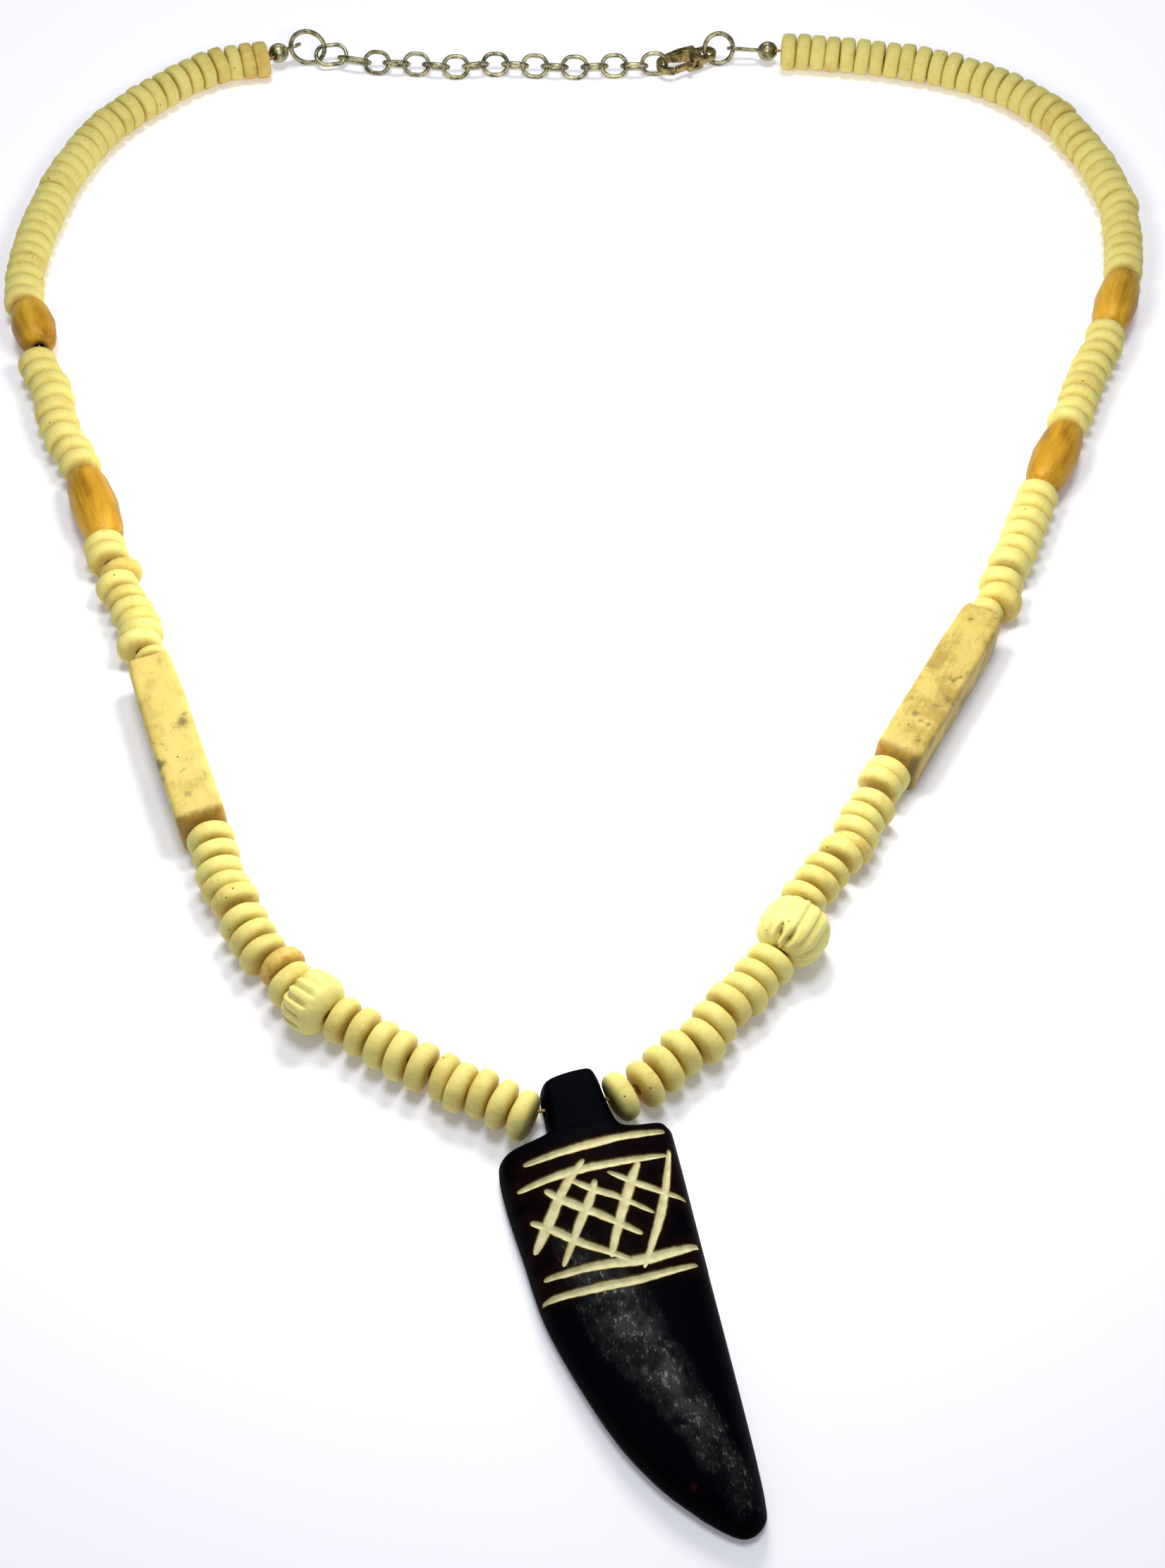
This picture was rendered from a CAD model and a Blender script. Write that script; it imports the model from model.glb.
import math
import random

import bmesh
import bpy
import numpy as np
from mathutils import Matrix, Vector, noise


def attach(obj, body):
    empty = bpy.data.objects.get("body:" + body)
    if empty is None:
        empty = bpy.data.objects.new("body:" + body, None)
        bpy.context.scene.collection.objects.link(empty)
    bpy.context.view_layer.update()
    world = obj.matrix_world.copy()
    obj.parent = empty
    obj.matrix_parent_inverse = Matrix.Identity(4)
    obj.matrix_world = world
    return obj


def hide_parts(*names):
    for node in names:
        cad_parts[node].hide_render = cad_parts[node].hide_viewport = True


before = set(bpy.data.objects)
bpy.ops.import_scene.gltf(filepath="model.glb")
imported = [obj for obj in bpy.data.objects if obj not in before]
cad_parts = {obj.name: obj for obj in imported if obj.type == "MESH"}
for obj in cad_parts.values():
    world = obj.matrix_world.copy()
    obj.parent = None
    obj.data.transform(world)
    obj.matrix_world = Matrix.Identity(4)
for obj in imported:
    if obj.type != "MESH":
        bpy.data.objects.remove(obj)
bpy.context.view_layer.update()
mm = 0.001
necklace = "necklace"  # the body of every piece but the clasp's lever


# shader expressions

class Value:
    # one socket; sums, differences and products of it add Math nodes
    def __init__(self, shader, socket):
        self.shader = shader
        self.socket = socket

    def maths(self, operation, *values):
        return self.shader.node("ShaderNodeMath", {"operation": operation}, dict(enumerate(values)))

    def __add__(self, other):
        return self.maths("ADD", self, other)

    def __sub__(self, other):
        return self.maths("SUBTRACT", self, other)

    def __rsub__(self, other):
        return self.maths("SUBTRACT", other, self)

    def __mul__(self, other):
        return self.maths("MULTIPLY", self, other)

    __radd__ = __add__
    __rmul__ = __mul__

    def over(self, low, high):
        # 0 at low and below, 1 at high and above, smooth between
        settings = {"interpolation_type": "SMOOTHSTEP"}
        inputs = {"Value": self, "From Min": low, "From Max": high}
        return self.shader.node("ShaderNodeMapRange", settings, inputs)


class Shader:
    def __init__(self, name):
        self.material = bpy.data.materials.new(name)
        self.material.use_nodes = True
        self.tree = self.material.node_tree
        self.tree.nodes.clear()
        self.output = self.tree.nodes.new("ShaderNodeOutputMaterial")

    def node(self, kind, settings=None, inputs=None, out=0):
        # settings come first, then the values or links of the sockets
        made = self.tree.nodes.new(kind)
        for key, value in (settings or {}).items():
            if key == "stops":
                ramp = made.color_ramp.elements
                while len(ramp) < len(value):
                    ramp.new(0.5)
                for element, (place, colour) in zip(ramp, value):
                    element.position = place
                    element.color = (*colour, 1)
            else:
                setattr(made, key, value)
        for key, value in (inputs or {}).items():
            if isinstance(value, Value):
                self.tree.links.new(value.socket, made.inputs[key])
            else:
                made.inputs[key].default_value = value
        return Value(self, made.outputs[out])

    def place(self):
        return self.node("ShaderNodeTexCoord", out="Object")

    def attribute(self, name, out="Fac"):
        return self.node("ShaderNodeAttribute", {"attribute_name": name}, out=out)

    def stretched(self, vector, scale):
        return self.node("ShaderNodeMapping", None, {"Vector": vector, "Scale": scale})

    def cloud(self, vector, scale, detail=3.0, roughness=0.5):
        inputs = {"Vector": vector, "Scale": scale, "Detail": detail, "Roughness": roughness}
        return self.node("ShaderNodeTexNoise", None, inputs)

    def cells(self, vector, scale):
        return self.node("ShaderNodeTexVoronoi", None, {"Vector": vector, "Scale": scale}, "Distance")

    def ramp(self, factor, stops):
        return self.node("ShaderNodeValToRGB", {"stops": stops}, {"Fac": factor})

    def mix(self, factor, first, second):
        # sockets 6 and 7 of a Mix node take its two colours, and output 2 gives one
        def colour(value):
            return value if isinstance(value, Value) else (*value, 1)
        inputs = {"Factor": factor, 6: colour(first), 7: colour(second)}
        return self.node("ShaderNodeMix", {"data_type": "RGBA"}, inputs, 2)

    def bump(self, height, depth, strength=1.0):
        return self.node("ShaderNodeBump", None, {"Height": height, "Distance": depth, "Strength": strength})

    def finish(self, **inputs):
        named = {key.replace("_", " "): value for key, value in inputs.items()}
        surface = self.node("ShaderNodeBsdfPrincipled", None, named)
        self.tree.links.new(surface.socket, self.output.inputs["Surface"])
        return self.material


def srgb(text):
    # a linear colour from a hex one
    parts = [int(text[i:i + 2], 16) / 255 for i in (0, 2, 4)]
    return tuple(c / 12.92 if c <= 0.04045 else ((c + 0.055) / 1.055) ** 2.4 for c in parts)


# mesh helpers

def addObject(name, bm, material=None):
    # the bmesh as an object at the origin
    mesh = bpy.data.meshes.new(name)
    bm.to_mesh(mesh)
    bm.free()
    if material:
        mesh.materials.append(material)
    made = bpy.data.objects.new(name, mesh)
    bpy.context.scene.collection.objects.link(made)
    return made


def finishPiece(name, bm, material, node, body=necklace):
    # a smooth shaded piece that stands for a CAD node
    piece = addObject(name, bm, material)
    piece.data.polygons.foreach_set("use_smooth", [True] * len(piece.data.polygons))
    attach(piece, body)
    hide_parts(node)
    return piece


def applyModifiers(piece):
    graph = bpy.context.evaluated_depsgraph_get()
    mesh = bpy.data.meshes.new_from_object(piece.evaluated_get(graph))
    piece.modifiers.clear()
    old = piece.data
    piece.data = mesh
    bpy.data.meshes.remove(old)


def boreBy(piece, matrix, radius, length, sides=40):
    # drills a piece along the Z of a matrix
    bm = bmesh.new()
    bmesh.ops.create_cone(bm, cap_ends=True, segments=sides, radius1=radius, radius2=radius, depth=length,
                          matrix=matrix)
    drill = addObject("drill", bm)
    cut = piece.modifiers.new("bore", "BOOLEAN")
    cut.operation = "DIFFERENCE"
    cut.solver = "EXACT"
    cut.object = drill
    applyModifiers(piece)
    bpy.data.objects.remove(drill)


def loosePoints(node):
    # the points of each loose solid of a node, furthest from the pendant first
    bm = bmesh.new()
    bm.from_mesh(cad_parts[node].data)
    bmesh.ops.remove_doubles(bm, verts=bm.verts, dist=1e-7)
    seen, groups = set(), []
    for seed in bm.verts:
        if seed in seen:
            continue
        seen.add(seed)
        stack, group = [seed], []
        while stack:
            vert = stack.pop()
            group.append(vert.co[:])
            for edge in vert.link_edges:
                other = edge.other_vert(vert)
                if other not in seen:
                    seen.add(other)
                    stack.append(other)
        groups.append(np.array(group))
    bm.free()
    return sorted(groups, key=lambda g: -(g[:, 1].min() + g[:, 1].max()))


def centredOn(points, turn):
    # the matrix whose axes are the rows of turn, at the middle of the points, and their sizes along it
    middle = (points.min(0) + points.max(0)) / 2
    reach = (points - middle) @ turn.T
    centre = middle + (reach.min(0) + reach.max(0)) / 2 @ turn
    return Matrix.Translation(Vector(centre)) @ Matrix(turn.T).to_4x4(), reach.max(0) - reach.min(0)


def spreadOf(points):
    # how far points spread and in which ways, least first
    spread = points - points.mean(0)
    return np.linalg.eigh(spread.T @ spread)


def ownAxes(points):
    # a matrix with Z along a bead's bore and X upwards, and the bead's sizes
    values, vectors = spreadOf(points)
    along = vectors[:, 0] if values[1] - values[0] > values[2] - values[1] else vectors[:, 2]
    along = Vector(along) * (-1 if along[1] > 0 else 1)
    side = Vector((0, 0, 1)).cross(along).normalized()
    return centredOn(points, np.array([along.cross(side), side, along]))


def linkAxes(points):
    # a matrix with X along a link or ring and Z out of its plane, and its sizes
    vectors = spreadOf(points)[1]
    along, out = Vector(vectors[:, 2]), Vector(vectors[:, 0])
    return centredOn(points, np.array([along, out.cross(along), out]))


def rising(value, start, reach):
    # 0 up to start, 1 from start + reach on, straight between
    return min(1, max(0, (value - start) / reach))


def lumps(place, shift, waves):
    # uneven height at a place; waves: how far apart in mm, and how high
    return sum(noise.noise(place / (apart * mm) + shift) * high for apart, high in waves)


# camera and light

view = {
    "place": (0.6 * mm, -175.76 * mm, 195.7 * mm), "tilt": 36, "lensOverHeight": 1.2041,
    "sensorHeight": 24, "nearest": 0.01,
}
cameraData = bpy.data.cameras.new("camera")
cameraData.sensor_fit = "VERTICAL"
cameraData.sensor_height = view["sensorHeight"]
cameraData.lens = view["sensorHeight"] * view["lensOverHeight"]
cameraData.clip_start = view["nearest"]
camera = bpy.data.objects.new("camera", cameraData)
camera.location = view["place"]
camera.rotation_euler = (math.radians(view["tilt"]), 0, 0)
bpy.context.scene.collection.objects.link(camera)
bpy.context.scene.camera = camera
bpy.context.scene.view_settings.view_transform = "Standard"

lights = {
    # name: place, aimed at and size in mm, watts, colour
    "lampMiddle": ((0, -6, 88), (0, -6, 0), 55, 0.147, (1.0, 0.955, 0.9)),
    "softboxAbove": ((0, 60, 700), (0, 0, 0), 220, 2.0, (0.96, 0.97, 1.0)),
}
for name, (place, target, size, watts, colour) in lights.items():
    data = bpy.data.lights.new(name, "AREA")
    data.shape = "DISK"
    data.size = size * mm
    data.energy = watts
    data.color = colour
    lamp = bpy.data.objects.new(name, data)
    lamp.location = Vector(place) * mm
    lamp.rotation_euler = (Vector(target) - Vector(place)).to_track_quat("-Z", "Y").to_euler()
    bpy.context.scene.collection.objects.link(lamp)

studio = {"colour": (0.82, 0.84, 1.0), "strength": 0.34}
world = bpy.data.worlds.new("studio")
world.use_nodes = True
background = world.node_tree.nodes["Background"]
background.inputs["Color"].default_value = (*studio["colour"], 1)
background.inputs["Strength"].default_value = studio["strength"]
bpy.context.scene.world = world

# the table glows a little, and more towards its back, so that it stays white as far as the view goes
tableLook = {
    "colour": "FDFDFF", "size": 1600 * mm, "below": 0.02 * mm, "roughness": 0.85, "specular": 0.2,
    "nearGlow": 0.09, "farGlow": 0.26, "farFrom": 0.17,
}
shader = Shader("paleTable")
away = shader.node("ShaderNodeSeparateXYZ", None, {"Vector": shader.place()}, "Y")
moreGlow = tableLook["farGlow"] - tableLook["nearGlow"]
glow = tableLook["nearGlow"] + away.over(0, tableLook["farFrom"]) * moreGlow
tableFinish = shader.finish(Base_Color=(*srgb(tableLook["colour"]), 1), Roughness=tableLook["roughness"],
                            Specular_IOR_Level=tableLook["specular"], Emission_Strength=1.0,
                            Emission_Color=shader.mix(glow, (0, 0, 0), (1, 1, 1)))
bm = bmesh.new()
bmesh.ops.create_grid(bm, x_segments=4, y_segments=4, size=tableLook["size"] / 2,
                      matrix=Matrix.Translation((0, 0, -tableLook["below"])))
addObject("table", bm, tableFinish)
print("camera, light and table made")


# finishes; the scales of their patterns are per metre, so a larger one is finer

boneLook = {
    "pale": "DFD57A", "deep": "C4AC50", "warm": "C48B26", "pit": "4A3414", "stain": "6A6234",
    "mottle": 420, "grain": 1700, "speckle": 1000, "pits": 560, "pitPatches": 330, "tooth": 2600,
    "mottled": 0.3, "roughness": 0.52, "specular": 0.35, "relief": 0.045 * mm,
}
paleLook = dict(boneLook, pale="E6DE84", deep="C9B457", stain="935C1C")
barLook = dict(boneLook, pale="D0BC65", deep="9C8439", mottle=260, mottled=0.6)


def boneFinish(name, look, stains=0.0):
    s = Shader(name)
    local = s.attribute("local", "Vector")
    tint = s.attribute("tint")
    warm = s.attribute("warm")
    rim = s.attribute("rim")
    mottle = s.cloud(local, look["mottle"], 4, 0.6)
    grain = s.cloud(s.stretched(local, (1, 1, 0.3)), look["grain"], 4, 0.65)
    depth = mottle.over(0.4, 0.7) * look["mottled"] + tint * 0.55 + rim * 0.55
    depth = depth + grain.over(0.45, 0.75) * 0.3
    colour = s.mix(depth.over(0, 1.2), srgb(look["pale"]), srgb(look["deep"]))
    cloudy = s.cloud(local, look["mottle"] * 1.7, 3, 0.6).over(0.45, 0.68)
    colour = s.mix((warm * (0.4 + cloudy * 0.6)).over(0, 1), colour, srgb(look["warm"]))
    if stains:
        speckle = s.cloud(local, look["speckle"], 5, 0.75) * 1.6 + s.attribute("stain") * 0.8
        colour = s.mix(speckle.over(0.9, 1.5) * stains, colour, srgb(look["stain"]))
    patches = s.cloud(local, look["pitPatches"], 1).over(0.53, 0.6)
    pit = (1 - s.cells(local, look["pits"]).over(0.04, 0.1)) * patches
    colour = s.mix(pit * 0.85, colour, srgb(look["pit"]))
    height = s.cloud(local, look["tooth"], 4, 0.65) * 0.3 + mottle * 0.6 + grain * 0.3 - pit * 1.5
    return s.finish(Base_Color=colour, Roughness=look["roughness"] + mottle * 0.15,
                    Specular_IOR_Level=look["specular"], Subsurface_Weight=0.15,
                    Subsurface_Radius=(1.0, 0.7, 0.25), Subsurface_Scale=0.8 * mm,
                    Normal=s.bump(height, look["relief"], 0.7))


woodLook = {
    "dark": "683F06", "middle": "B4861B", "light": "E9B63A", "pore": "5A3208", "hole": "2A1404",
    "grain": 900, "broad": 210, "pores": 2300, "gloss": 0.42, "specular": 0.15, "lacquer": 0.08,
    "relief": 0.03 * mm,
}


def woodFinish(look):
    s = Shader("amberWood")
    local = s.attribute("local", "Vector")
    grain = s.cloud(s.stretched(local, (1, 1, 0.13)), look["grain"], 5, 0.6)
    broad = s.cloud(s.stretched(local, (1, 1, 0.4)), look["broad"], 2, 0.5)
    pores = 1 - s.cells(s.stretched(local, (1, 1, 0.1)), look["pores"]).over(0.1, 0.25)
    stops = [(0.0, srgb(look["dark"])), (0.42, srgb(look["middle"])), (1.0, srgb(look["light"]))]
    colour = s.ramp((grain * 0.5 + broad * 0.65 - 0.08).over(0.15, 0.85), stops)
    colour = s.mix(pores * 0.15, colour, srgb(look["pore"]))
    colour = s.mix(s.attribute("rim") * 0.85, colour, srgb(look["hole"]))
    return s.finish(Base_Color=colour, Roughness=look["gloss"] + broad * 0.15,
                    Specular_IOR_Level=look["specular"], Coat_Weight=look["lacquer"], Coat_Roughness=0.16,
                    Normal=s.bump(grain * 0.4 - pores * 0.3, look["relief"], 0.5))


hornLook = {
    "black": "030407", "brown": "1E0B06", "fog": "282C2C", "glint": "A8A488", "rust": "2E100B",
    "groove": "DAD4A4", "grooveDeep": "BBB27C", "grooveEdge": "57451F",
    "streak": 1300, "scratches": 3600, "blotch": 420, "flecks": 1300, "dust": 900,
    "roughness": 0.35, "specular": 0.005, "relief": 0.05 * mm,
}


def hornFinish(look):
    s = Shader("blackHorn")
    local = s.attribute("local", "Vector")
    carved = s.attribute("carved")
    worn = s.attribute("worn")
    streak = s.cloud(s.stretched(local, (1, 0.3, 1)), look["streak"], 5, 0.7)
    fine = s.cloud(s.stretched(local, (1, 0.4, 1)), look["scratches"], 4, 0.7)
    blotch = s.cloud(local, look["blotch"], 4, 0.65)
    brown = s.attribute("scraped") * (0.45 + streak.over(0.4, 0.65) * 0.55)
    colour = s.mix(brown, srgb(look["black"]), srgb(look["brown"]))
    fog = worn * (0.25 + blotch.over(0.4, 0.6) * 0.75)
    colour = s.mix(fog * 0.75, colour, srgb(look["fog"]))
    flecks = s.cloud(s.stretched(local, (1, 0.5, 1)), look["flecks"], 4, 0.7)
    glint = fog * fine.over(0.52, 0.66) * flecks.over(0.42, 0.6)
    colour = s.mix(glint * 0.65, colour, srgb(look["glint"]))
    colour = s.mix(s.attribute("rust"), colour, srgb(look["rust"]))
    dust = s.cloud(local, look["dust"], 3, 0.55).over(0.35, 0.7) * 0.7
    chalk = s.mix(dust, srgb(look["groove"]), srgb(look["grooveDeep"]))
    chalk = s.mix(carved.over(0.35, 0.8), srgb(look["grooveEdge"]), chalk)
    edge = carved.over(0.1, 0.3)
    colour = s.mix(edge, colour, chalk)
    height = streak * 0.35 + fine * (0.12 + worn * 1.0) + blotch * 0.4
    return s.finish(Base_Color=colour, Roughness=look["roughness"] + blotch * 0.15 + edge * 0.35,
                    Specular_IOR_Level=look["specular"], Coat_Weight=fog * 0.14 + glint * 0.7,
                    Coat_Roughness=0.38, Normal=s.bump(height, look["relief"], 0.6))


nickelLook = {
    "light": "C2BD92", "dark": "4A4632", "tarnish": 700, "fine": 3600, "roughness": 0.3, "relief": 0.04 * mm,
}
brassLook = dict(nickelLook, light="B8A468", dark="40341A", roughness=0.28)


def metalFinish(name, look):
    s = Shader(name)
    place = s.place()
    tarnish = s.cloud(place, look["tarnish"], 4, 0.65)
    fine = s.cloud(place, look["fine"], 3, 0.6)
    colour = s.mix((tarnish * 0.7 + fine * 0.3).over(0.36, 0.62), srgb(look["dark"]), srgb(look["light"]))
    return s.finish(Base_Color=colour, Metallic=1.0, Roughness=look["roughness"] + tarnish * 0.22,
                    Normal=s.bump(tarnish * 0.6 + fine * 0.3, look["relief"], 0.5))


threadLook = {"dark": "6B4A16", "light": "C79A3C", "twist": 2600, "roughness": 0.6, "relief": 0.04 * mm}


def threadFinish(look):
    s = Shader("waxedThread")
    twist = s.cloud(s.stretched(s.place(), (1, 1, 2)), look["twist"], 3, 0.6)
    colour = s.mix(twist.over(0.3, 0.7), srgb(look["dark"]), srgb(look["light"]))
    return s.finish(Base_Color=colour, Roughness=look["roughness"], Normal=s.bump(twist, look["relief"]))


bone = boneFinish("creamBone", boneLook)
paleBone = boneFinish("paleBone", paleLook, 0.9)
stainedBone = boneFinish("stainedBone", barLook, 0.85)
wood = woodFinish(woodLook)
horn = hornFinish(hornLook)
nickel = metalFinish("antiqueNickel", nickelLook)
brass = metalFinish("antiqueBrass", brassLook)
thread = threadFinish(threadLook)
print("finishes made")


# turned beads

def beadProfile(radius, half, bore, power, points):
    # a circle pulled to the section of a turned disc: flat near the bore, round at the rim
    boreShort = 0.97  # the bore's points stop just short of the faces
    spots = []
    for k in range(points):
        c, s = math.cos(2 * math.pi * k / points), math.sin(2 * math.pi * k / points)
        away = max(bore, radius * max(0, c) ** (2 / power))
        along = half * math.copysign(abs(s) ** (2 / power), s)
        spots.append((away, along * (1 if c > -0.01 else boreShort)))
    return spots


def beadLayers(bm):
    # what the bead materials read, made on first use
    vectors, floats = bm.verts.layers.float_vector, bm.verts.layers.float
    found = {"local": vectors.get("local") or vectors.new("local")}
    for name in ("tint", "warm", "rim", "stain"):
        found[name] = floats.get(name) or floats.new(name)
    return found


def spunRing(bm, spots, steps):
    # the closed section spun once round the bore, in a mesh of its own first
    one = bmesh.new()
    ring = bmesh.ops.create_circle(one, segments=len(spots), radius=1)["verts"]
    for vert, (away, along) in zip(ring, spots):
        vert.co = (away, 0, along)
    bmesh.ops.spin(one, geom=ring + one.edges[:], cent=(0, 0, 0), axis=(0, 0, 1), angle=2 * math.pi,
                   steps=steps, use_merge=True, use_duplicate=False)
    mesh = bpy.data.meshes.new("spun")
    one.to_mesh(mesh)
    one.free()
    start = len(bm.verts)
    bm.from_mesh(mesh)
    bpy.data.meshes.remove(mesh)
    layers = beadLayers(bm)
    return bm.verts[start:], layers


rondelle = {
    "bore": 0.75 * mm, "profile": 18, "steps": 44, "lumps": ((2.3, 0.1 * mm), (0.6, 0.02 * mm)),
    "wedge": 0.05, "lean": 3.5, "patternApart": 3 * mm,
    # warmth added on the faces and underneath; a bead's own warmth and tint are drawn from the next two
    "faceWarm": 0.5, "underWarm": 0.7, "warmths": (0, 0, 0.06, 0.14), "tints": (0, 0.6),
    # thickness added and squareness, for most runs and for the long first ones
    "closeUp": (0.2 * mm, 0.3 * mm), "powers": ((3.0, 3.9), (3.9, 5.2)),
}
# how far beads sit off the even row, in mm: bead from the clasp end: right, away from the pendant
nudges = {
    "beads_left_1": {0: (0, 0), 3: (0.2, 1.0), 5: (0, 1.0), 8: (0, 0.2), 12: (0.2, -0.3), 16: (0.8, -0.4),
                     21: (1.0, -0.2), 24: (0.3, 0), 27: (-0.4, 0), 30: (-0.6, -0.2)},
    "beads_left_2": {0: (-0.8, -0.6), 1: (-0.7, -0.3), 2: (-0.3, 0), 3: (-0.4, 0), 4: (-0.85, 0),
                     5: (-0.9, 0), 6: (-0.9, 0), 7: (-0.25, 0.2), 8: (-0.1, 0.4)},
    "beads_left_3": {0: (-0.95, 0.65), 1: (-1.05, 0.7), 2: (0.3, 0.3), 3: (-0.8, 0.1), 4: (-0.2, 0),
                     5: (0.1, 0), 6: (0.3, 0.3), 7: (-0.1, 0.8), 8: (-1.0, 1.2), 9: (0, 1.5)},
    "beads_left_4": {0: (0, 1.0), 1: (0, 0.7), 2: (-0.15, 0.3), 3: (-0.25, 0.55), 4: (0, 1.0), 5: (0.1, 0.2),
                     7: (0, 0), 8: (0.8, 0.35), 9: (0.35, -0.1)},
    "beads_left_5": {0: (0, 0.65), 1: (0.1, 0.5), 2: (0.1, 0.15), 3: (0, 0), 4: (0.15, -0.15),
                     5: (0.45, -0.35), 6: (-0.05, -0.6), 7: (0, -0.3), 8: (-0.05, -0.6), 9: (0, -0.85)},
    "beads_right_1": {0: (0, -0.5), 1: (0, 0), 12: (0.2, 0.3), 17: (0.2, 0.6), 19: (0.6, 0.8), 20: (0.2, 0.3),
                      27: (0.2, 0.2), 28: (0.6, 0.2), 29: (0, 0), 34: (-0.2, 0)},
    "beads_right_2": {0: (0, 0), 1: (0.4, 0), 3: (-0.2, 0), 5: (-0.3, 0), 7: (0, 0), 8: (-0.3, 0)},
    "beads_right_3": {0: (0, 0), 4: (0.3, -0.2), 5: (0.1, -0.1), 6: (-0.3, -1.2), 7: (0.3, -1.6),
                      8: (-0.4, -0.7), 9: (-0.5, 0.6)},
    "beads_right_4": {0: (-0.2, 0.3), 1: (0, 0.8), 2: (0.05, -0.5), 3: (-0.1, -0.45), 4: (0.3, -0.6),
                      5: (0.8, -0.7), 6: (0.7, 0.4), 7: (0, 0.2), 8: (-0.1, 0.45), 9: (-0.55, 0.45)},
    "beads_right_5": {0: (0.35, -0.25), 1: (0.15, 0), 2: (0.2, 0), 3: (-0.05, 0.7), 4: (-0.15, 0.25),
                      5: (0.25, 0), 6: (-0.15, 0.4), 7: (-0.1, 0.1), 8: (0, -0.3), 9: (-0.7, -0.3)},
}
# beads of a colour or size of their own: warmth, tint, size
odd = {
    ("beads_left_1", 0): (0.5, 0.8, 1), ("beads_left_1", 1): (0.45, 0.9, 1),
    ("beads_left_1", 3): (0.25, 0.8, 1), ("beads_left_1", 19): (0.2, 0.5, 1),
    ("beads_left_3", 2): (0.4, 0.9, 0.98), ("beads_left_3", 4): (0.2, 0.9, 0.96),
    ("beads_left_3", 6): (0.1, 0.6, 1), ("beads_left_3", 9): (0.1, 0.6, 0.82),
    ("beads_left_4", 8): (0.85, 0.9, 0.98), ("beads_left_4", 9): (0.15, 0.4, 1),
    ("beads_left_5", 0): (0.1, 0.5, 0.96), ("beads_left_5", 5): (0.15, 0.6, 0.97),
    ("beads_left_5", 9): (0, 0.1, 1),
    ("beads_right_1", 0): (0.25, 0.4, 1), ("beads_right_1", 19): (0.3, 0.8, 1),
    ("beads_right_3", 7): (0.1, 0.7, 1.04), ("beads_right_3", 8): (0.1, 0.4, 0.75),
    ("beads_right_3", 9): (0.1, 0.6, 0.66), ("beads_right_4", 5): (0.35, 0.9, 0.9),
    ("beads_right_4", 8): (0.1, 0.5, 1), ("beads_right_5", 3): (0.15, 0.5, 0.98),
    ("beads_right_5", 8): (0.25, 0.6, 0.97), ("beads_right_5", 9): (0, 0.1, 1),
}


def nudged(node, i):
    # the offset of one bead, straight between the beads that are listed
    known = sorted(nudges[node])
    return Vector([np.interp(i, known, [nudges[node][k][axis] for k in known]) * mm for axis in (0, 1)] + [0])


def turnedBead(bm, matrix, size, form, seed):
    # a turned disc, then worn out of true
    radius, half, bore = size[0] / 2, size[2] / 2, form["bore"]
    profile = beadProfile(radius, half, bore, form["power"], form["profile"])
    verts, layers = spunRing(bm, profile, form["steps"])
    rng = random.Random(seed)
    shift = Vector((rng.uniform(-9, 9), rng.uniform(-9, 9), rng.uniform(-9, 9)))
    wedge = rng.uniform(-1, 1) * form["wedge"]
    way = rng.uniform(0, 2 * math.pi)
    angle = math.radians(rng.uniform(-1, 1) * form["lean"])
    lean = Matrix.Rotation(angle, 4, (math.cos(way), math.sin(way), 0))
    for vert in verts:
        p = vert.co
        away = math.hypot(p.x, p.y)
        lump = lumps(p, shift, form["lumps"])
        tilt = wedge * math.cos(math.atan2(p.y, p.x) - way) * away / radius
        face = min(1, max(0, 1.7 - 1.9 * (away - bore) / (radius - bore)))
        vert[layers["local"]] = p + shift * form["patternApart"]
        vert[layers["tint"]] = form["tint"]
        vert[layers["rim"]] = face
        p.z *= 1 + tilt
        vert.co = matrix @ lean @ (p + p.normalized() * lump)
        under = max(0, (matrix.translation.z - vert.co.z) / radius)
        vert[layers["warm"]] = min(1, form["warm"] + form["faceWarm"] * face + form["underWarm"] * under)


for sideNumber, side in enumerate(("left", "right")):
    for run in range(1, 6):
        node = f"beads_{side}_{run}"
        long = run == 1
        bm = bmesh.new()
        for i, points in enumerate(loosePoints(node)):
            seed = sideNumber * 1000 + run * 100 + i
            rng = random.Random(seed)
            matrix, size = ownAxes(points)
            usual = (rng.choice(rondelle["warmths"]), rng.uniform(*rondelle["tints"]), 1)
            warm, tint, scale = odd.get((node, i), usual)
            form = dict(rondelle, power=rng.uniform(*rondelle["powers"][long]), tint=tint, warm=warm)
            size = (size[0] * scale, size[1] * scale, size[2] * scale + rondelle["closeUp"][long])
            turnedBead(bm, Matrix.Translation(nudged(node, i)) @ matrix, size, form, seed)
        bmesh.ops.recalc_face_normals(bm, faces=bm.faces)
        finishPiece(f"rondelles_{side}_{run}", bm, bone, node)
print("rondelles turned")


# oval wood beads

oval = {
    "bore": 0.75 * mm, "profile": 40, "power": 7, "steps": 56, "lumps": ((3, 0.06 * mm),),
    "patternApart": 3 * mm, "endR": 2.3 * mm, "endRound": 0.35 * mm, "boreDark": 0.7 * mm,
    "seeds": {"left_1": 97, "left_2": 98, "right_1": 100, "right_2": 101},
}


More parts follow.
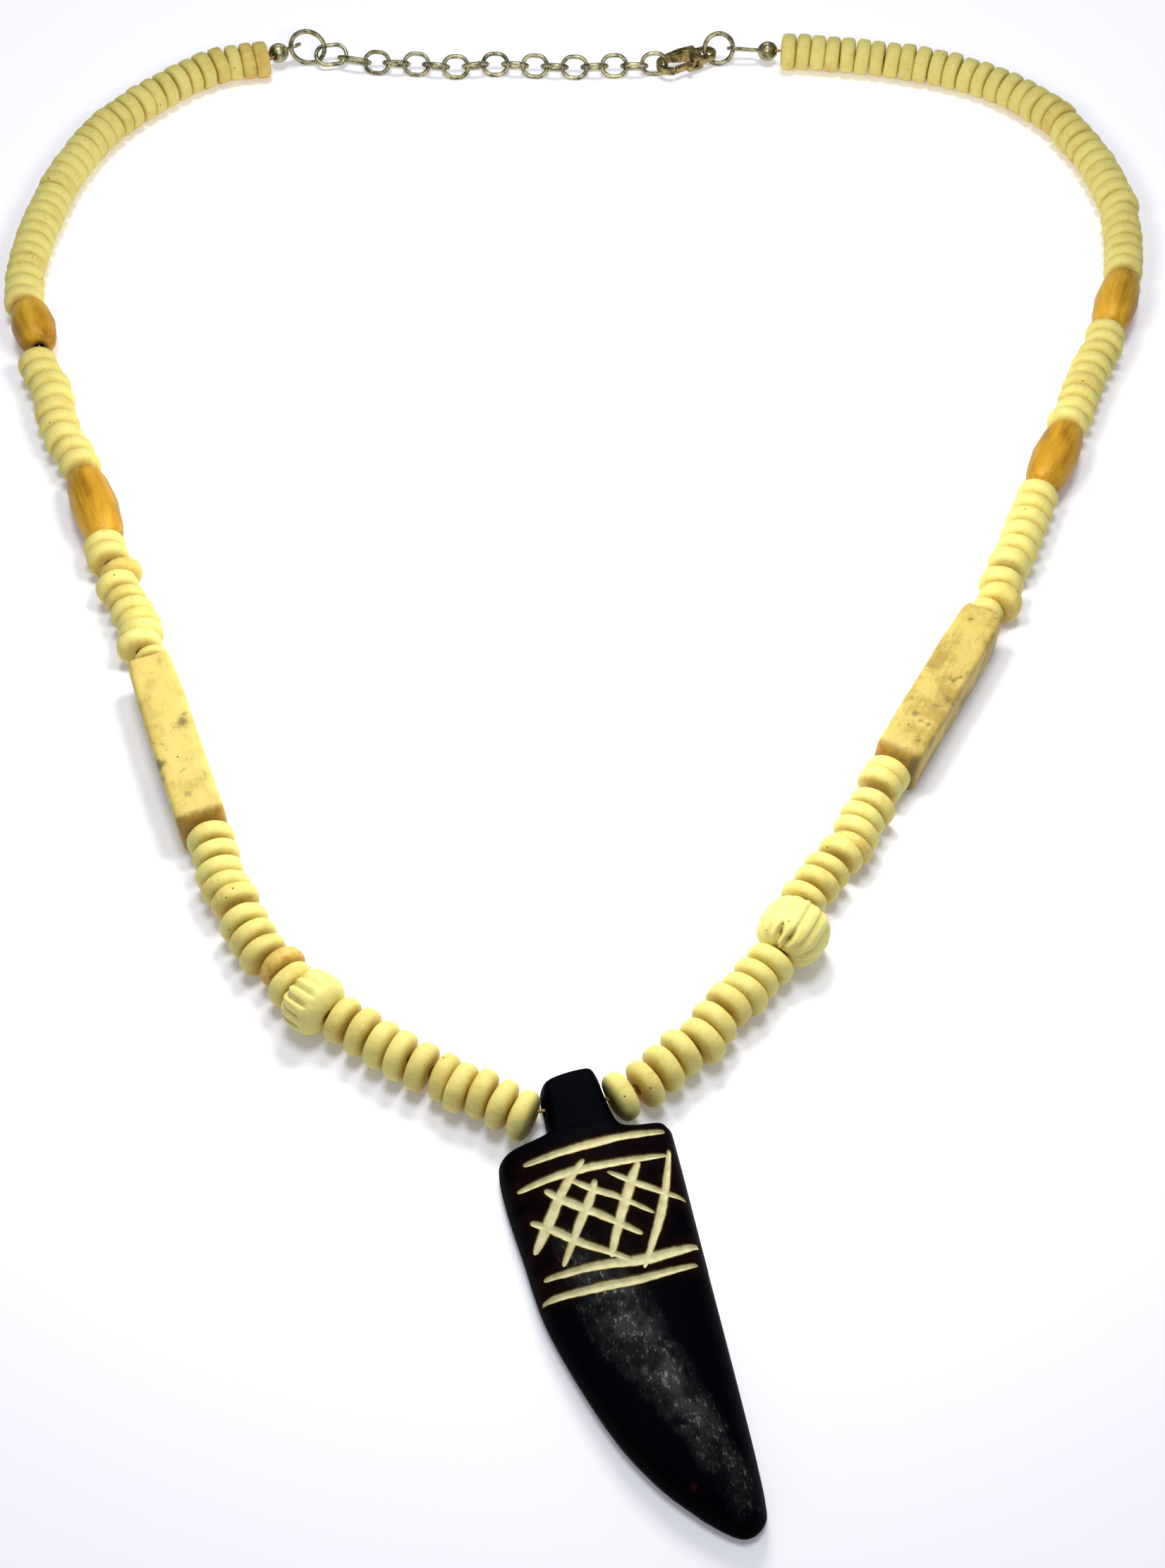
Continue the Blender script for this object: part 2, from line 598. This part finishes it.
def barrel(bm, matrix, size, form, seed):
    # a section whose outside runs in one long arc from end to end
    radius, half = size[0] / 2, size[2] / 2
    fall = radius - form["endR"]
    arcR = (fall ** 2 + half ** 2) / (2 * fall)
    boreShare = 0.12  # of a section one wide, drawn before it is fitted
    spots = []
    for away, z in beadProfile(1, half, boreShare, form["power"], form["profile"]):
        outer = radius - arcR + math.sqrt(arcR ** 2 - z ** 2)
        outer -= form["endRound"] * max(0, abs(z) / half - 0.9) / 0.1
        spots.append((form["bore"] + (outer - form["bore"]) * (away - boreShare) / (1 - boreShare), z))
    verts, layers = spunRing(bm, spots, form["steps"])
    shift = Vector((seed * 7.3 % 11, seed * 3.7 % 5, 0))
    for vert in verts:
        p = vert.co
        away = math.hypot(p.x, p.y)
        vert[layers["local"]] = p + shift * form["patternApart"]
        vert[layers["rim"]] = 1 - rising(away, form["bore"], form["boreDark"])
        vert.co = matrix @ (p * (1 + lumps(p, shift, form["lumps"]) / max(away, mm)))


for spot, seed in oval["seeds"].items():
    node = f"oval_bead_{spot}"
    bm = bmesh.new()
    barrel(bm, *ownAxes(loosePoints(node)[0]), oval, seed)
    bmesh.ops.recalc_face_normals(bm, faces=bm.faces)
    finishPiece(f"oval_wood_{spot}", bm, wood, node)


# fluted beads

melon = {
    "profile": 64, "steps": 220, "bore": 0.8 * mm, "power": 2.9, "grooves": 14, "wobble": 0.15,
    "lumps": ((2.2, 0.12 * mm), (0.7, 0.03 * mm)), "boreDark": 0.8 * mm, "underWarm": 0.7,
    "patternAt": Vector((116 * mm, 0, 0)),
    # in mm: depth of the grooves, width of a groove's two sides, depth of the notch at the near end, and how
    # far the bead sits off the row; reach is where along the bore the grooves start and end, from -1 to 1
    "left": {"depth": 0.4, "widths": (0.3, 0.75), "reach": (-1.2, 0.5), "notch": 0, "shift": (0, 0)},
    "right": {"depth": 0.2, "widths": (0.35, 0.85), "reach": (-1.2, 1.1), "notch": 0.6, "shift": (0.4, -0.7)},
}


def flutedBead(side, form, depth, widths, reach, notch, shift):
    node = f"melon_bead_{side}"
    matrix, size = ownAxes(loosePoints(node)[0])
    matrix = Matrix.Translation((shift[0] * mm, shift[1] * mm, 0)) @ matrix
    radius, half = size[0] / 2, size[2] / 2
    bm = bmesh.new()
    profile = beadProfile(radius, half, form["bore"], form["power"], form["profile"])
    verts, layers = spunRing(bm, profile, form["steps"])
    low, high = reach
    step = 2 * math.pi / form["grooves"]
    for vert in verts:
        p = vert.co
        away, angle = math.hypot(p.x, p.y), math.atan2(p.y, p.x)
        t = p.z / half
        wobble = noise.noise(Vector((math.cos(angle), math.sin(angle), t))) * form["wobble"]
        off = ((angle / step + wobble) % 1 - 0.5) * step * away
        outer = rising(away / radius, 0.45, 0.3)
        vee = max(0, 1 - abs(off) / (widths[off > 0] * mm))
        vee *= rising(t, low, 0.25) * rising(high - t, 0, 0.3) * outer
        deep = rising(t, 0.5, 0.3) * max(0, 1 - abs(off) / (0.5 * mm)) * (abs(angle) < step)
        cut = depth * mm * vee + notch * mm * deep * outer
        hole = 1 - rising(away, form["bore"], form["boreDark"])
        vert[layers["local"]] = p + form["patternAt"]
        vert[layers["tint"]] = 0.1 + 0.5 * vee
        vert[layers["rim"]] = hole
        vert[layers["stain"]] = max(deep * notch, hole)
        lump = lumps(p, Vector(), form["lumps"])
        vert.co = matrix @ (p * (1 + (lump - cut) / max(away, mm)))
        under = max(0, (matrix.translation.z - vert.co.z) / radius)
        vert[layers["warm"]] = min(1, 0.2 * vee + form["underWarm"] * under)
    bmesh.ops.recalc_face_normals(bm, faces=bm.faces)
    finishPiece(f"melon_{side}", bm, paleBone, node)


for side in ("left", "right"):
    flutedBead(side, melon, **melon[side])
print("ovals and melons made")


# bar beads

bar = {
    "edge": 0.95 * mm, "bore": 0.75 * mm, "drillBeyond": 4 * mm, "rows": (15, 15, 50),
    "lumps": ((4.2, 0.09 * mm), (1.3, 0.03 * mm)), "drawnIn": 0.05 * mm, "patternApart": 4 * mm,
    # the near end slants by so much, and the far one is narrower and further out
    "slant": 0.8 * mm, "farTaper": 0.1, "longer": 1.1 * mm,
    # the near end: where it starts along the bar, and its colour
    "nearFrom": 0.93, "nearTint": 0.8, "nearWarm": 0.75, "nearStain": 0.35,
    # shorter is at the near end; smudges: across and along from -1 to 1, radius in mm, strength
    "left": {"seed": 8, "tint": 0.05, "shorter": 0.5 * mm, "smudges": [
        (0.45, -0.14, 1.1, 0.9), (0.75, -0.24, 0.6, 0.5), (-0.95, 0.24, 1.1, 0.9), (-0.2, 0.71, 0.9, 0.7),
        (0.6, 0.55, 1.0, 0.45), (-0.95, 0.41, 0.9, 0.5), (-0.1, 0.4, 0.7, 0.35), (0.1, -0.72, 1.3, 0.2),
        (-0.5, 0.1, 1.2, 0.25),
    ]},
    "right": {"seed": 9, "tint": 0.8, "shorter": -0.4 * mm, "smudges": [
        (0.45, -0.05, 0.6, 0.9), (0.68, -0.12, 0.35, 0.8), (0.4, 0.31, 0.4, 1.0), (-0.7, 0.33, 0.6, 0.7),
        (-0.2, 0.5, 0.6, 0.85), (0.15, 0.56, 0.6, 0.8), (0.5, 0.57, 0.5, 0.85), (-0.85, -0.1, 1.0, 0.4),
        (0.7, 0.19, 1.0, 0.6), (0.5, 0.81, 0.4, 0.9), (-0.3, -0.8, 0.3, 0.8), (0.6, -0.92, 0.7, 0.5),
        (-0.4, -0.63, 1.2, 0.3), (0.75, 1.0, 0.6, 1.0),
    ]},
}


def rowedBlock(size, rows):
    # a block cut into rows that crowd at its long edges
    half = size / 2
    bm = bmesh.new()
    bmesh.ops.create_cube(bm, size=1)
    bmesh.ops.scale(bm, vec=size, verts=bm.verts)
    for axis, count in enumerate(rows):
        normal = Vector((axis == 0, axis == 1, axis == 2))
        for turn in np.linspace(-1, 1, count + 1)[1:-1]:
            place = half[axis] * (math.sin(turn * math.pi / 2) if axis < 2 else turn)
            bmesh.ops.bisect_plane(bm, geom=bm.verts[:] + bm.edges[:] + bm.faces[:], plane_co=normal * place,
                                   plane_no=normal)
    return bm


def barBead(side, look, seed, tint, shorter, smudges):
    # each point of the block is drawn in to a rounded edge, and then the ends are shaped
    node = f"bar_bead_{side}"
    matrix, size = ownAxes(loosePoints(node)[0])
    half = size / 2
    core = half - look["edge"]
    bm = rowedBlock(size, look["rows"])
    layers = beadLayers(bm)
    shift = Vector((seed, 2, 1))
    for vert in bm.verts:
        p = vert.co.copy()
        inner = Vector([max(-c, min(c, x)) for c, x in zip(core, p)])
        if (p - inner).length > 0:
            p = inner + (p - inner).normalized() * look["edge"]
        up, across, along = (p[k] / half[k] for k in range(3))
        far = [math.hypot((across - a) * half[1], (along - b) * half[2]) / (r * mm) for a, b, r, _ in smudges]
        stains = [spot[3] * max(0, 1.3 - away) for spot, away in zip(smudges, far)]
        lump = lumps(p, shift, look["lumps"])
        near = rising(along, look["nearFrom"], 1 - look["nearFrom"])
        vert[layers["local"]] = p + shift * look["patternApart"]
        vert[layers["tint"]] = tint + look["nearTint"] * near
        vert[layers["warm"]] = look["nearWarm"] * near
        vert[layers["rim"]] = near
        vert[layers["stain"]] = max(*stains, look["nearStain"] * near) if up > -0.9 else 0
        p.z -= max(0, along) ** 3 * (shorter + look["slant"] * max(0, up))
        p.z -= max(0, -along) ** 3 * look["longer"]
        p.y *= 1 - look["farTaper"] * max(0, -along) ** 4
        vert.co = matrix @ (p + Vector((p.x, p.y, 0)).normalized() * (lump - look["drawnIn"]))
    bmesh.ops.recalc_face_normals(bm, faces=bm.faces)
    piece = finishPiece(node.replace("_bead", ""), bm, stainedBone, node)
    boreBy(piece, matrix, look["bore"], size[2] + look["drillBeyond"])


for side in ("left", "right"):
    barBead(side, bar, **bar[side])
print("bars made")


# pendant

pendant = {
    # where the thread hole is, and the turn; what follows is right of the hole and below it, in mm
    "hole": (-0.2, -80.16), "turn": 12.4, "holeHeight": 2.8, "holeR": 0.75, "drill": 14, "plate": 2.0,
    "voxel": 0.2, "rounds": 5,
    "outline": [
        (4.2, 3.2), (3.5, -0.2), (3.2, -2.6), (2.4, -3.8), (-0.5, -3.8), (-2.9, -3.2), (-3.7, -2.0),
        (-3.7, 0.6), (-3.9, 2.7), (-4.9, 3.3), (-8.2, 4.0), (-9.6, 4.9), (-10.0, 6.6), (-9.9, 10.5),
        (-9.3, 16), (-8.2, 24.5), (-4.6, 35.2), (-1.2, 41.5), (2.6, 46.0), (5.4, 48.4), (7.1, 48.95),
        (8.7, 48.1), (9.35, 46.4), (9.65, 40), (9.8, 22), (9.95, 7), (9.6, 5.0), (8.6, 4.2), (5.4, 4.0),
    ],
    # below the hole: height of the crown, how far right the crest is, how wide the edge is rounded
    "crown": [(-5, 4.9, 0, 0.8), (0, 5.1, 0, 0.8), (3, 5.2, 0, 0.9), (6, 5.7, 0, 1.5), (18, 5.8, 1.6, 1.8),
              (28, 5.7, 4.0, 2.2), (36, 5.3, 5.6, 2.4), (44, 4.3, 7.6, 2.2), (50, 3.0, 8.4, 2.0)],
    # half the width, how far the face falls from the crest to each rim, least height, rounding underneath
    "halfWide": 9.8, "fallRight": 2.0, "fallLeft": 2.6, "thinnest": 1.6, "underR": 0.7,
    "rimSlack": 0.12,  # points this near the outline count as lying on it
    # points along each stroke, how wide it is cut, and where along it is widest
    "strokes": [
        ([(-7.3, 6.7), (-2.6, 6.5), (3.7, 6.1), (8.8, 6.0)], 1.35, 0.5),
        ([(-8.5, 9.4), (-3.2, 9.0), (3.1, 9.0), (8.3, 8.8)], 1.35, 0.4),
        ([(-7.7, 19.8), (-2.5, 19.9), (3.5, 20.4), (9.2, 19.5)], 1.6, 0.7),
        ([(-8.3, 22.0), (-3.0, 22.2), (3.0, 22.4), (8.5, 21.7)], 1.4, 0.45),
        ([(-8.0, 16.7), (-6.0, 14.0), (-3.7, 10.8), (-0.8, 7.9)], 1.75, 0.3),
        ([(-5.4, 19.0), (-2.8, 15.0), (-0.9, 12.2), (-0.1, 10.5)], 1.5, 0.5),
        ([(-0.3, 19.4), (0.9, 16.7), (3.4, 11.9), (5.0, 9.3)], 1.6, 0.6),
        ([(2.8, 21.3), (5.4, 16.7), (7.2, 12.8), (8.8, 8.1)], 1.35, 0.45),
        ([(1.4, 9.9), (4.0, 11.6), (6.8, 13.1), (9.2, 14.2)], 1.1, 0.4),
        ([(-2.9, 9.7), (-0.6, 11.5), (2.1, 13.1), (5.3, 15.4)], 1.15, 0.4),
        ([(-5.6, 10.2), (-3.8, 12.0), (0.8, 15.5), (3.5, 17.6)], 1.35, 0.4),
        ([(-7.8, 13.2), (-5.9, 14.6), (-2.7, 17.3), (2.0, 20.3)], 1.3, 0.5),
    ],
    "grooveDepth": 0.4, "scrapedReach": 1.9, "unevenness": 0.07,
    # dents: right, below, radius, depth
    "dents": [(2.5, 37.8, 1.0, 0.16), (-1.6, 24.8, 0.6, 0.12), (4.6, 33.0, 0.35, 0.12),
              (1.4, 30.4, 0.7, 0.07), (2.3, 41.3, 0.5, 0.08)],
    # the dusty band: below the hole, its left side and its right side
    "band": [(14, -6.2, -4.6), (18, -6.2, -2.0), (23.5, -5.6, 1.8), (28, -4.2, 3.0), (34, -0.8, 4.9),
             (40, 2.5, 6.8), (46, 5.2, 8.2)],
    # the rust-coloured spot: right, below, radius
    "rust": (2.5, 43.7, 0.45),
}


def smoothPath(points, steps):
    # Catmull-Rom through a few points
    path = []
    for i in range(len(points) - 1):
        a, b, c, d = (np.array(points[max(0, min(len(points) - 1, i + k))], float) for k in (-1, 0, 1, 2))
        for t in np.arange(steps) / steps:
            path.append(0.5 * (2 * b + (c - a) * t + (2 * a - 5 * b + 4 * c - d) * t * t
                               + (3 * b - a - 3 * c + d) * t ** 3))
    return np.array(path + [np.array(points[-1], float)])


def closedPath(points, steps):
    # the same curve round a closed row of points
    whole = smoothPath(points[-2:] + points + points[:2], steps)
    return whole[2 * steps:(2 + len(points)) * steps]


rimPath = closedPath(pendant["outline"], 10)
crownLine = smoothPath(pendant["crown"], 8)
bandLine = smoothPath(pendant["band"], 6)
strokes = [(smoothPath(points, 8), width / 2, widest) for points, width, widest in pendant["strokes"]]


def flat(places):
    # right of the hole and below it, in mm
    return np.array([(c.x / mm, -c.y / mm) for c in places])


def alongLine(line, v, column):
    return np.interp(v, line[:, 0], line[:, column])


def fromLine(points, path):
    # for each point: how far the path is, and how far along it that place is
    best, place = np.full(len(points), 99.0), np.zeros(len(points))
    for k, (a, b) in enumerate(zip(path[:-1], path[1:])):
        to, ab = points - a, b - a
        t = np.clip(to @ ab / (ab @ ab), 0, 1)
        away = np.hypot(*(to - t[:, None] * ab).T)
        nearer = away < best
        best[nearer], place[nearer] = away[nearer], (k + t[nearer]) / (len(path) - 1)
    return best, place


def surfaceOver(points, level, look):
    # heights of points of the plate: level 0 is the underside and 1 the top
    u, v = points.T
    height, crest, edgeR = (alongLine(crownLine, v, k) for k in (1, 2, 3))
    wholeRim = np.vstack([rimPath, rimPath[:1]])
    inside = np.maximum(0, fromLine(points, wholeRim)[0] - look["rimSlack"])
    right = u > crest
    off = (u - crest) / np.where(right, look["halfWide"] - crest, look["halfWide"] + crest)
    drop = np.where(right, look["fallRight"], look["fallLeft"]) * off * off * np.clip((v - 2) / 5, 0, 1)
    rise = np.sqrt(1 - (1 - np.minimum(1, inside / edgeR)) ** 2)
    top = np.maximum(look["thinnest"], height - drop) * (0.5 + 0.5 * rise)
    underR = look["underR"]
    under = underR * (1 - np.sqrt(1 - (1 - np.minimum(1, inside / underR)) ** 2))
    return under + (top - under) * level


def strokesAt(points):
    # for each point: 1 in the middle of a stroke and 0 at its edge, and how far the nearest one is
    best, near = np.full(len(points), -9.0), np.full(len(points), 99.0)
    field = (points[:, 1] > 3.5) & (points[:, 1] < 25.5)
    inField = points[field]
    rough = 0.9 + np.array([0.12 * noise.noise(Vector((u * 1.3, v * 1.3, 4.5)))
                            + 0.05 * noise.noise(Vector((u * 4, v * 4, 1.5))) for u, v in inField])
    for path, half, widest in strokes:
        far, s = fromLine(inField, path)
        taper = np.clip(np.where(s < widest, s / widest, (1 - s) / (1 - widest)), 0, 1)
        wide = half * rough * (0.1 + 0.9 * taper ** 0.35)
        best[field], near[field] = np.maximum(best[field], 1 - far / wide), np.minimum(near[field], far)
    return best, near


def pendantBlank(look):
    # the outline as a plate of small even faces
    bm = bmesh.new()
    rim = [bm.verts.new((u * mm, -v * mm, 0)) for u, v in rimPath]
    face = bm.faces.new(rim)
    made = bmesh.ops.extrude_face_region(bm, geom=[face])["geom"]
    raised = [g for g in made if isinstance(g, bmesh.types.BMVert)]
    bmesh.ops.translate(bm, vec=(0, 0, look["plate"] * mm), verts=raised)
    bmesh.ops.recalc_face_normals(bm, faces=bm.faces)
    piece = finishPiece("carved_pendant", bm, horn, "pendant")
    even = piece.modifiers.new("even", "REMESH")
    even.mode = "VOXEL"
    even.voxel_size = look["voxel"] * mm
    applyModifiers(piece)
    return piece


def crownPlate(bm, look):
    # the plate's points are raised to the crowned face, and its rim is softened
    level = np.clip(np.array([v.co.z for v in bm.verts]) / (look["plate"] * mm), 0, 1)
    for vert, height in zip(bm.verts, surfaceOver(flat([v.co for v in bm.verts]), level, look)):
        vert.co.z = height * mm
    for _ in range(look["rounds"]):
        bmesh.ops.smooth_vert(bm, verts=bm.verts, factor=0.5, use_axis_x=True, use_axis_y=True,
                              use_axis_z=True)


def refineByStrokes(bm):
    # twice as many faces on the top wherever a stroke is near
    bm.normal_update()
    upper = [f for f in bm.faces if f.normal.z > 0.5 and 4 * mm < -f.calc_center_median().y < 24.5 * mm]
    close = strokesAt(flat([f.calc_center_median() for f in upper]))[1] < 0.85
    bmesh.ops.subdivide_edges(bm, edges=list({e for f, c in zip(upper, close) if c for e in f.edges}), cuts=1,
                              use_grid_fill=True)
    bmesh.ops.triangulate(bm, faces=[f for f in bm.faces if len(f.verts) > 4])


def carvePendant(bm, look):
    # cuts the strokes and dents, and marks what the horn finish reads
    carved = bm.verts.layers.float.new("carved")
    scraped = bm.verts.layers.float.new("scraped")
    worn = bm.verts.layers.float.new("worn")
    rust = bm.verts.layers.float.new("rust")
    local = bm.verts.layers.float_vector.new("local")
    bm.normal_update()
    for vert, inside, far in zip(bm.verts, *strokesAt(flat([v.co for v in bm.verts]))):
        u, v = vert.co.x / mm, -vert.co.y / mm
        vert[local] = vert.co.copy()
        if vert.normal.z <= 0.3:
            continue
        z = vert.co.z
        if 3.5 < v < 25:
            if inside > -0.5:
                vert[carved] = max(0.0, min(1, inside * 1.6 + 0.2))
                z -= look["grooveDepth"] * (1 - (1 - max(0.0, inside)) ** 2) * mm
            field = rising(v, 4.5, 2) * rising(24 - v, 0, 2)
            vert[scraped] = field * max(0, 1 - far / look["scrapedReach"])
        for du, dv, r, depth in look["dents"]:
            away = math.hypot(u - du, v - dv) / r
            if away < 1:
                z -= depth * (1 - away * away) ** 2 * mm
        low, high = (float(alongLine(bandLine, v, k)) for k in (1, 2))
        ragged = noise.noise(Vector((u / 1.5, v / 3, 7))) * 0.9
        band = rising(u + ragged, low, 3.5) * rising(high + 0.9 - u + ragged * 0.7, 0, 2.6)
        vert[worn] = band * rising(v, 14, 3) * rising(48 - v, 0, 2)
        du, dv, r = look["rust"]
        vert[rust] = max(0, 1 - (math.hypot(u - du, v - dv) / r) ** 2)
        vert.co.z = z + noise.noise(Vector((u / 3.1, v / 5, 1))) * look["unevenness"] * mm


pendantPiece = pendantBlank(pendant)
bm = bmesh.new()
bm.from_mesh(pendantPiece.data)
crownPlate(bm, pendant)
refineByStrokes(bm)
carvePendant(bm, pendant)
place = (Matrix.Translation(Vector((*pendant["hole"], 0)) * mm)
         @ Matrix.Rotation(math.radians(pendant["turn"]), 4, "Z"))
bmesh.ops.transform(bm, matrix=place, verts=bm.verts)
bmesh.ops.recalc_face_normals(bm, faces=bm.faces)
for f in bm.faces:
    f.smooth = True
bm.to_mesh(pendantPiece.data)
bm.free()
lift = Matrix.Translation((0, 0, pendant["holeHeight"] * mm))
drillPlace = place @ lift @ Matrix.Rotation(math.pi / 2, 4, "Y")
boreBy(pendantPiece, drillPlace, pendant["holeR"] * mm, pendant["drill"] * mm)
print("pendant carved")


# chain, rings, bead tips and clasp

def wireLoop(bm, length, width, wireR, matrix, profile, arc):
    # a wire ring or a long link: its section spun round each end, with straight runs between
    bendR = width / 2 - wireR
    straight = max(0.0, length - width)
    section = bmesh.ops.create_circle(
        bm, segments=profile, radius=wireR,
        matrix=Matrix.Translation((straight / 2, bendR, 0)) @ Matrix.Rotation(math.pi / 2, 4, "Y"))["verts"]
    ends = list(section)
    for side in (1, -1):
        edges = list({e for v in ends for e in v.link_edges if all(w in ends for w in e.verts)})
        made = bmesh.ops.spin(bm, geom=ends + edges, cent=(side * straight / 2, 0, 0), axis=(0, 0, -1),
                              angle=math.pi, steps=arc, use_merge=False, use_duplicate=False)["geom_last"]
        ends = [g for g in made if isinstance(g, bmesh.types.BMVert)]
        if straight:
            edges = [g for g in made if isinstance(g, bmesh.types.BMEdge)]
            run = bmesh.ops.extrude_edge_only(bm, edges=edges)["geom"]
            ends = [g for g in run if isinstance(g, bmesh.types.BMVert)]
            bmesh.ops.translate(bm, vec=(-side * straight, 0, 0), verts=ends)
    bmesh.ops.remove_doubles(bm, verts=bm.verts, dist=0.002 * mm)
    bmesh.ops.transform(bm, matrix=matrix, verts=bm.verts)


wires = {
    "link": {"wireR": 0.35 * mm, "profile": 14, "arc": 20},
    "ring": {"wireR": 0.4 * mm, "profile": 16, "arc": 32},
}


def wirePiece(node, name, kind):
    matrix, (length, width, _) = linkAxes(loosePoints(node)[0])
    bm = bmesh.new()
    wireLoop(bm, length, length if kind == "ring" else width, matrix=matrix, **wires[kind])
    bmesh.ops.recalc_face_normals(bm, faces=bm.faces)
    finishPiece(name, bm, nickel, node)


for i in range(1, 18):
    wirePiece(f"chain_link_{i:02d}", f"link_{i:02d}", "link")
for side in ("left", "right"):
    wirePiece(f"jump_ring_{side}", f"ring_{side}", "ring")

cast = {"voxel": 0.07 * mm, "rounds": 4}


def castCopy(node, name, material, body=necklace):
    # the solid's own shape with its edges softened as cast and tumbled metal has them
    bm = bmesh.new()
    bm.from_mesh(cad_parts[node].data)
    bmesh.ops.remove_doubles(bm, verts=bm.verts, dist=1e-7)
    piece = finishPiece(name, bm, material, node, body)
    even = piece.modifiers.new("even", "REMESH")
    even.mode = "VOXEL"
    even.voxel_size = cast["voxel"]
    even.use_smooth_shade = True
    soft = piece.modifiers.new("soft", "SMOOTH")
    soft.iterations = cast["rounds"]
    applyModifiers(piece)


castCopy("clasp_body", "clasp", brass)
castCopy("clasp_lever", "clasp_trigger", brass, "lever")
castCopy("bead_tip_left", "tip_left", nickel)
castCopy("bead_tip_right", "tip_right", nickel)
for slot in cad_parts["thread"].material_slots:
    slot.material = thread
print("chain and clasp made")
